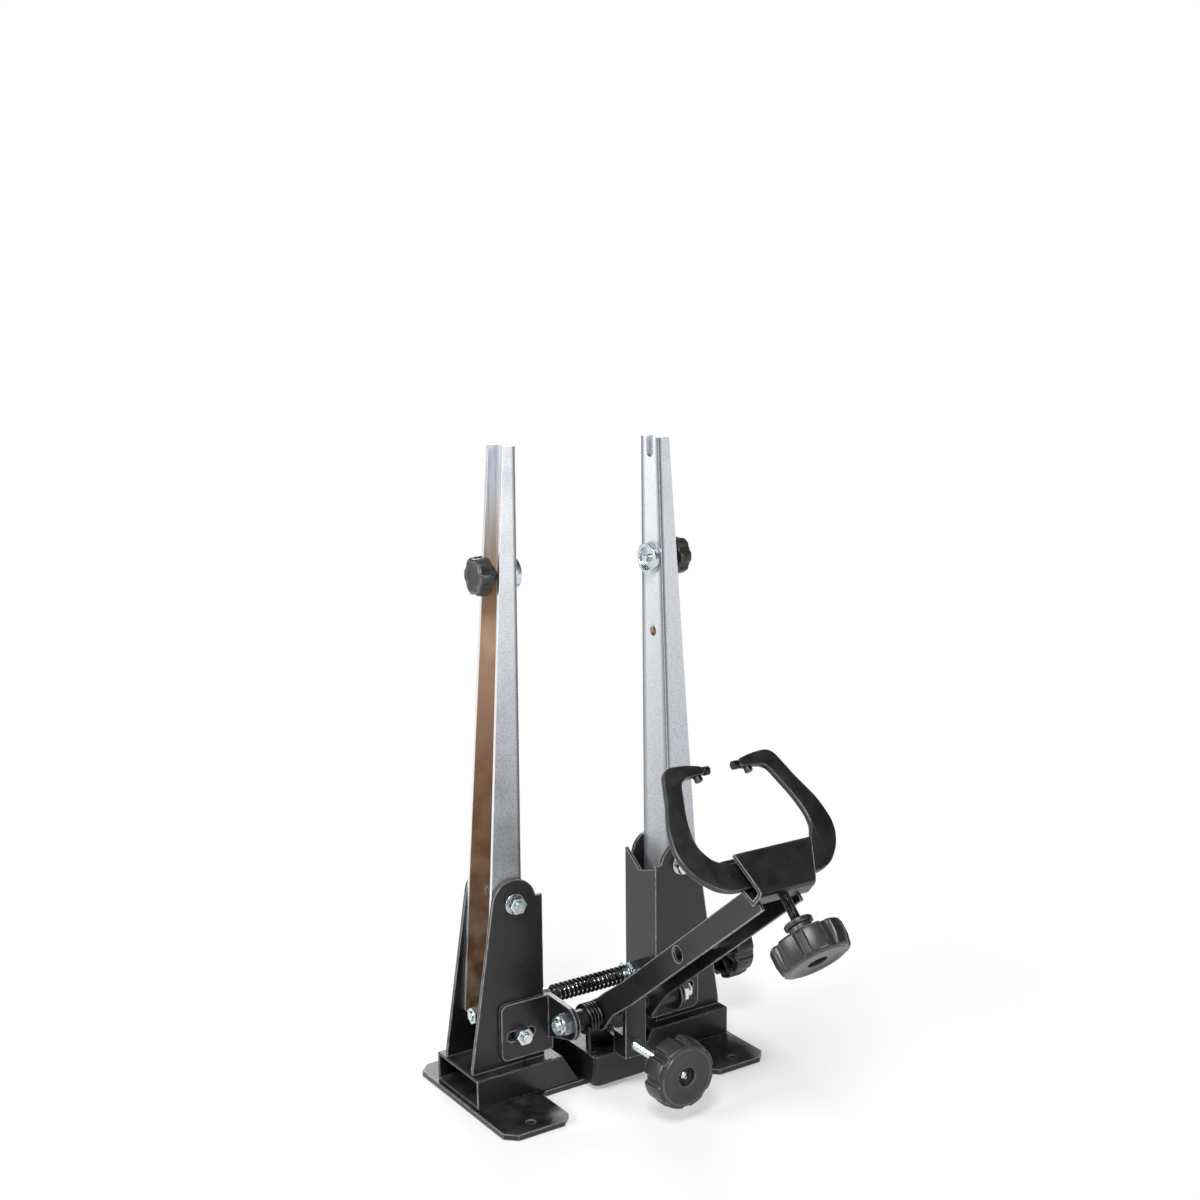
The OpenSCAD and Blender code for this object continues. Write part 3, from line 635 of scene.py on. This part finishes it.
# Notches: the width over which they fade inwards, their depth at the face, and where they are full
NOTCH_FADE = 0.14
NOTCH_AT_FACE = 0.35
NOTCH_FULL_AT = 0.6
# The neck's collars and groove, as shares of its radius and of its length
NECK_PROFILE = [(1.0, 0.30), (0.96, 0.36), (0.80, 0.40), (0.78, 0.62), (0.98, 0.68), (1.0, 0.72)]
# Height of the neck's broken edge, its reach into the grip past the hollow's floor, and a rib's slope
NECK_EDGE = 0.0008
NECK_ROOT = 0.0005
RIB_DROP = 0.002
RIB_FACES = [[0, 1, 2, 3], [7, 6, 5, 4], [0, 4, 5, 1], [1, 5, 6, 2], [2, 6, 7, 3], [3, 7, 4, 0]]


def knob_grid(size, depth):
    """Rings of a lobed grip. Each ring's radius is the profile's radius less depth x notch, where notch is
    a smooth step of cos(lobes x angle) that deepens from the face to the back, so that blocky lobes
    stand out behind a nearly round face; the back is hollow down to the cavity's depth."""
    radius, height, hole, wall = (size[key] for key in ("radius", "height", "hole", "wall"))
    rim = KNOB_RIM * radius / REFERENCE_RADIUS
    face = radius * FACE_SHARE
    cavity_level = height - size["cavity"]
    ring = [radius * share for share in RING_SHARES]
    turn = np.linspace(0, math.pi / 2, 5)
    profile = [(hole, size["sunk"]), (hole, DISH_LEVEL + HOLE_CHAMFER), (hole + HOLE_CHAMFER, DISH_LEVEL),
               (ring[0], DISH_LEVEL), (ring[1], 0.0), (ring[2], 0.0), (ring[3], RING_FOOT_LEVEL)]
    profile += [(face - rim + rim * math.sin(t), FACE_LEVEL + rim - rim * math.cos(t)) for t in turn]
    profile += [(radius, height * share) for share in WIDEST_SHARES]
    profile += [(radius - rim + rim * math.cos(t), height - rim + rim * math.sin(t)) for t in turn]
    profile += [(radius * (wall + 0.03), height), (radius * wall, height - BACK_LIP),
                (radius * (wall - 0.02), cavity_level), (hole + HOLE_WALL, cavity_level)]
    profile = np.array(profile)
    a = around(KNOB_STEPS)[None]
    notch = np.clip((np.cos(size["lobes"] * a) - size["notch_start"]) / size["notch_slope"], 0, 1)
    notch = notch * notch * (3 - 2 * notch)
    inwards = np.clip((profile[:, :1] - wall * radius) / (NOTCH_FADE * radius), 0, 1)
    along = np.clip(profile[:, 1:] / (NOTCH_FULL_AT * height), 0, 1)
    share = inwards * (NOTCH_AT_FACE + (1 - NOTCH_AT_FACE) * along)
    return rings(profile[:, :1] - depth * share * notch, a, profile[:, 1:])


def rib_points(inner, outer, low, high, width):
    """Eight corners of a rib that slopes from its high inner end to its low outer end."""
    w, drop = width / 2, high - RIB_DROP
    return np.array([[inner, -w, low], [inner, w, low], [outer, w, low], [outer, -w, low],
                     [inner, -w, high], [inner, w, high], [outer, w, drop], [outer, -w, drop]])


def knob_piece(node, origin, axis, neck_length, size=LARGE_KNOB):
    """A lobed grip with a hollow ribbed back and a stepped neck, joined into one mesh of closed solids."""
    radius, height, neck, lobes = (size[key] for key in ("radius", "height", "neck", "lobes"))
    scale = radius / REFERENCE_RADIUS
    depth = bpy.context.scene.stand_sizes.lobe_depth * scale * size["notch_depth"]
    foot = height - size["cavity"] - NECK_ROOT
    top = height + neck_length
    hub = lathe([(neck * 0.55, foot), (neck, foot)]
                + [(neck * wide, height + neck_length * far) for wide, far in NECK_PROFILE]
                + [(neck, top - NECK_EDGE), (neck * 0.93, top), (neck * 0.42, top)])
    solids = [(grid.reshape(-1, 3), capped_faces(*grid.shape[:2])) for grid in (knob_grid(size, depth), hub)]
    rib = rib_points(neck * 0.9, radius * size["wall"], foot, height - BACK_LIP, RIB_WIDTH * scale)
    for turn in 2 * math.pi * (np.arange(lobes) + 0.5) / lobes:
        c, s = math.cos(turn), math.sin(turn)
        solids.append((rib @ np.array([[c, s, 0], [-s, c, 0], [0, 0, 1]]), RIB_FACES))
    points = np.concatenate([solid for solid, _ in solids])
    starts = np.cumsum([0] + [len(solid) for solid, _ in solids])
    faces = [[v + int(start) for v in face] for start, (_, own) in zip(starts, solids) for face in own]
    dress(new_object(node + "_finished", place(points, origin, axis), faces, KNOB_SHARP_ANGLE), node)


class STAND_OT_knobs(bpy.types.Operator):
    """Three large and two small lobed knobs"""
    bl_idname = "stand.knobs"
    bl_label = "Knobs"

    def execute(self, context):
        knob_piece("width_knob", (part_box("width_knob")[1].x, 0, WIDTH_AXIS_Z), (-1, 0, 0), WIDTH_NECK)
        knob_piece("height_knob", (0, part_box("height_knob")[0].y, HEIGHT_AXIS_Z), (0, 1, 0), FRONT_NECK)
        knob_piece("caliper_knob", CALIPER_FACE, CALIPER_AXIS, FRONT_NECK)
        for node, end, inwards in (("small_knob_left", 0, 1), ("small_knob_right", 1, -1)):
            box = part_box(node)
            origin = (box[end].x, 0, (box[0].z + box[1].z) / 2)
            knob_piece(node, origin, (inwards, 0, 0), SMALL_NECK, SMALL_KNOB)
        return {"FINISHED"}


# ---------------------------------------------------------------- screws and springs

SCREW_RADIUS = 0.004
SCREW_SHARP_ANGLE = 70.0
# Each screw's factor on the thread pitch, and the caliper screw's ends behind its knob's face
WIDTH_PITCH = 1.6
FRONT_PITCH = 1.2
CALIPER_SCREW_RUN = (0.004, 0.0606)

SPRING_SHARP_ANGLE = 60.0
WIDTH_WIRE = 0.0014
WIDTH_COIL_RADIUS = 0.0063
WIDTH_COILS = 17
TORSION_WIRE = 0.0015
TORSION_COIL_RADIUS = 0.011
TORSION_COIL_LENGTH = 0.0124
TORSION_COILS = 4
# Where the torsion spring's coil starts on the arm's shaft, and its leg down to the centre box
TORSION_START = (-0.040, -0.056, 0.069)
TORSION_LEG_Z = (0.043, 0.066)
TORSION_FOOT_X = (-0.033, -0.039)
TORSION_FOOT_Z = 0.0420
TORSION_HEEL_Z = 0.0424


class STAND_OT_screws(bpy.types.Operator):
    """Threaded bars of the width, height and caliper screws"""
    bl_idname = "stand.screws"
    bl_label = "Screws"

    def execute(self, context):
        width_low, width_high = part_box("width_screw")
        height_low, height_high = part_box("height_screw")
        near, far = CALIPER_SCREW_RUN
        self.screw("width_screw", (width_low.x, 0, WIDTH_AXIS_Z), (1, 0, 0), width_high.x - width_low.x,
                   WIDTH_PITCH)
        self.screw("height_screw", (0, height_low.y, HEIGHT_AXIS_Z), (0, 1, 0), height_high.y - height_low.y,
                   FRONT_PITCH)
        self.screw("caliper_screw", CALIPER_FACE + CALIPER_AXIS * near, CALIPER_AXIS, far - near, FRONT_PITCH)
        return {"FINISHED"}

    def screw(self, node, start, axis, length, pitch):
        """One threaded bar from its start along an axis."""
        sizes = bpy.context.scene.stand_sizes
        grid = thread(length, SCREW_RADIUS, sizes.thread_pitch * pitch, sizes.thread_depth)
        dress(surface(node + "_finished", place(grid, start, axis), SCREW_SHARP_ANGLE), node)


class STAND_OT_springs(bpy.types.Operator):
    """Long spring of the width screw and torsion spring of the arm"""
    bl_idname = "stand.springs"
    bl_label = "Springs"

    def execute(self, context):
        low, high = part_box("width_spring")
        path = helix(WIDTH_COIL_RADIUS, high.x - low.x - 2 * WIDTH_WIRE, WIDTH_COILS)
        path = place(path, (low.x + WIDTH_WIRE, 0, WIDTH_AXIS_Z), (1, 0, 0), (0, 0, 1))
        coil = surface("width_spring_finished", wire(path, WIDTH_WIRE, 10), SPRING_SHARP_ANGLE)
        dress(coil, "width_spring")
        coil = helix(TORSION_COIL_RADIUS, TORSION_COIL_LENGTH, TORSION_COILS, 36)
        coil = place(coil, TORSION_START, (1, 0, 0), (0, -1, 0))
        leg_x, leg_y = TORSION_START[0], TORSION_START[1] - TORSION_COIL_RADIUS
        leg = np.array([[leg_x, leg_y, z] for z in np.linspace(*TORSION_LEG_Z, 8)])
        foot = np.array([[x, leg_y, TORSION_FOOT_Z] for x in np.linspace(*TORSION_FOOT_X, 6)])
        foot[-1, 2] = TORSION_HEEL_Z
        path = np.concatenate([foot, leg, coil[1:]])
        coil = surface("torsion_spring_finished", wire(path, TORSION_WIRE, 12), SPRING_SHARP_ANGLE)
        dress(coil, "torsion_spring")
        return {"FINISHED"}


# ---------------------------------------------------------------- jaws

# Corners of the right jaw in millimetres: across the stand, and along the caliper's axis from its face
JAW_OUTER = [(5.2, 66), (38, 64), (52, 69), (63, 80), (69, 91), (71, 101), (70, 111), (68, 121), (64, 131),
             (59, 142), (55, 154), (51, 165), (45, 169), (30, 168), (16, 165)]
JAW_INNER = [(16, 158), (34, 158), (40, 154), (44, 142), (48, 131), (50.5, 121), (52, 111), (51, 101),
             (45, 91), (35, 86), (20, 86), (7, 87)]
# Height across the jaw's thickness and how far its outline lies inside the full one, in millimetres
JAW_LEVELS = [(-2.5, 0.6), (-2.2, 0.15), (-1.9, 0.0), (1.9, 0.0), (2.2, 0.15), (2.5, 0.6)]
# Points on each rounded corner, and the share of a side that its curve takes up
JAW_CORNER_POINTS = 6
JAW_CORNER_REACH = 0.38
JAW_SHARP_ANGLE = 35.0


class STAND_OT_jaws(bpy.types.Operator):
    """Two flat caliper jaws with smooth outlines and broken edges"""
    bl_idname = "stand.jaws"
    bl_label = "Caliper jaws"

    def execute(self, context):
        outline = closed_curve(JAW_OUTER + JAW_INNER, JAW_CORNER_POINTS, JAW_CORNER_REACH)
        inward = inward_of(outline)
        basis = np.stack([(1.0, 0.0, 0.0), CALIPER_BACK, CALIPER_AXIS])
        for node, sign in (("jaw_left", -1), ("jaw_right", 1)):
            levels = JAW_LEVELS[::-sign]    # the mirrored outline runs the other way round
            flats = [(outline + inward * inset, across) for across, inset in levels]
            grid = np.array([np.stack([sign * flat[:, 0], np.full(len(flat), across), flat[:, 1]], -1)
                             for flat, across in flats]) * MM
            dress(surface(node + "_finished", grid @ basis + CALIPER_FACE, JAW_SHARP_ANGLE), node)
        return {"FINISHED"}


# ---------------------------------------------------------------- stage

# Name, place, size, power in watts, and the point that the lamp looks at
STUDIO_LAMPS = [
    ("key", (-1.3, -1.5, 2.3), 0.8, 62.0, (0, 0, 0.25)),
    ("strip", (0.2, -2.3, 0.9), 0.7, 22.0, (0, 0, 0.3)),
    ("rim", (0.9, 1.9, 1.8), 1.2, 46.0, (0, 0, 0.3)),
    ("side", (-2.2, 0.2, 1.0), 1.0, 42.0, (0, 0, 0.35)),
]
WORLD_LIGHT = 0.08
FLOOR_RADII = (0.02, 14.0)
FLOOR_SHARP_ANGLE = 40.0
# Distance from the middle over which the floor turns to plain white, and the share of white there
FLOOR_FADE = (0.14, 0.50)
FLOOR_WHITE = (0.35, 1.0)

# Camera fitted to the photograph
CAMERA_PLACE = (-0.7296, -1.1554, 0.6494)
CAMERA_LOOK = (0.573, 0.797, -0.190)
CAMERA_LENS = 51.1
CAMERA_SENSOR = 36.0
CAMERA_SHIFT = (-0.069, 0.017)


class STAND_OT_stage(bpy.types.Operator):
    """Pale floor, soft lights and the camera at the photograph's angle"""
    bl_idname = "stand.stage"
    bl_label = "Stage"

    def execute(self, context):
        scene = context.scene
        scene.view_settings.view_transform = "Standard"
        build_floor(scene.stand_colours.floor)
        build_world()
        for lamp in STUDIO_LAMPS:
            build_lamp(*lamp)
        build_camera(scene)
        return {"FINISHED"}


def build_floor(colour):
    """A wide round floor: lit and shaded near the stand, pure white to the camera further out."""
    grid = rings(np.linspace(*FLOOR_RADII, 24)[:, None], around(64)[None], 0.0)
    rows, columns = grid.shape[:2]
    faces = grid_faces(rows, columns) + [list(range(columns - 1, -1, -1))]
    floor = new_object("floor", grid, faces, FLOOR_SHARP_ANGLE)
    material, tree, shader = start_material("floor", Roughness=0.9, Base_Color=(*colour, 1.0),
                                            Specular_IOR_Level=0.0)
    coords = add(tree, "ShaderNodeTexCoord").outputs["Object"]
    far = add(tree, "ShaderNodeVectorMath", {"operation": "LENGTH"}, _0=coords).outputs["Value"]
    rays = add(tree, "ShaderNodeLightPath").outputs
    seen = maths(tree, "MAXIMUM", rays["Is Camera Ray"], rays["Is Glossy Ray"])
    share = maths(tree, "MULTIPLY", seen, ramp(tree, far, *FLOOR_FADE, *FLOOR_WHITE))
    white = add(tree, "ShaderNodeEmission", Color=(1, 1, 1, 1), Strength=1.0)
    either = add(tree, "ShaderNodeMixShader", _0=share, _1=shader.outputs[0], _2=white.outputs[0])
    tree.links.new(either.outputs[0], tree.nodes["Material Output"].inputs["Surface"])
    floor.data.materials.append(material)


def build_world():
    """Plain studio world: soft light for the object, white behind it."""
    world = bpy.data.worlds.new("studio")
    bpy.context.scene.world = world
    world.use_nodes = True
    tree = world.node_tree
    tree.nodes.clear()
    rays = add(tree, "ShaderNodeLightPath").outputs
    lit = add(tree, "ShaderNodeBackground", Color=(1, 1, 1, 1), Strength=WORLD_LIGHT)
    white = add(tree, "ShaderNodeBackground", Color=(1, 1, 1, 1), Strength=1.0)
    either = add(tree, "ShaderNodeMixShader", _0=rays["Is Camera Ray"], _1=lit.outputs[0],
                 _2=white.outputs[0])
    add(tree, "ShaderNodeOutputWorld", Surface=either.outputs[0])


def put(name, data, where, target):
    """A lamp or camera at a place, looking at a target."""
    item = bpy.data.objects.new(name, data)
    bpy.context.scene.collection.objects.link(item)
    item.location = where
    item.rotation_euler = (Vector(target) - Vector(where)).to_track_quat("-Z", "Y").to_euler()
    return item


def build_lamp(name, where, size, power, target):
    """A square area lamp."""
    data = bpy.data.lights.new(name, "AREA")
    data.size = size
    data.energy = power
    put(name, data, where, target)


def build_camera(scene):
    """Camera fitted to the photograph: its place, direction, lens and small shift."""
    data = bpy.data.cameras.new("camera")
    data.lens = CAMERA_LENS
    data.sensor_width = CAMERA_SENSOR
    data.shift_x, data.shift_y = CAMERA_SHIFT
    scene.camera = put("camera", data, CAMERA_PLACE, np.add(CAMERA_PLACE, CAMERA_LOOK))


# ---------------------------------------------------------------- add-on

OPERATORS = (STAND_OT_stage, STAND_OT_sheets, STAND_OT_fasteners, STAND_OT_knobs, STAND_OT_screws,
             STAND_OT_springs, STAND_OT_jaws)


class STAND_PT_panel(bpy.types.Panel):
    """Sidebar panel with the stand's settings and builders"""
    bl_idname = "STAND_PT_panel"
    bl_label = "Truing stand"
    bl_space_type = "VIEW_3D"
    bl_region_type = "UI"
    bl_category = "Stand"

    def draw(self, context):
        for group in (context.scene.stand_sizes, context.scene.stand_colours):
            for key in group.__annotations__:
                self.layout.prop(group, key)
        for operator in OPERATORS:
            self.layout.operator(operator.bl_idname)


CLASSES = (StandSizes, StandColours, *OPERATORS, STAND_PT_panel)


def register():
    """Registers the classes and hangs both groups of settings on the scene."""
    for item in CLASSES:
        bpy.utils.register_class(item)
    bpy.types.Scene.stand_sizes = bpy.props.PointerProperty(type=StandSizes)
    bpy.types.Scene.stand_colours = bpy.props.PointerProperty(type=StandColours)


def unregister():
    """Takes back what register() did, in reverse."""
    del bpy.types.Scene.stand_colours
    del bpy.types.Scene.stand_sizes
    for item in reversed(CLASSES):
        bpy.utils.unregister_class(item)


def finish_nodes(materials):
    """Gives every CAD node its slot's finish, for the ones that no finished piece replaces."""
    for node, item in NODES.items():
        item.data.materials.clear()
        item.data.materials.append(materials[SLOT_OF[node]])


def main():
    register()
    finish_nodes(build_materials(bpy.context.scene.stand_colours))
    for operator in OPERATORS:
        section, name = operator.bl_idname.split(".")
        getattr(getattr(bpy.ops, section), name)()


if __name__ == "__main__":
    main()
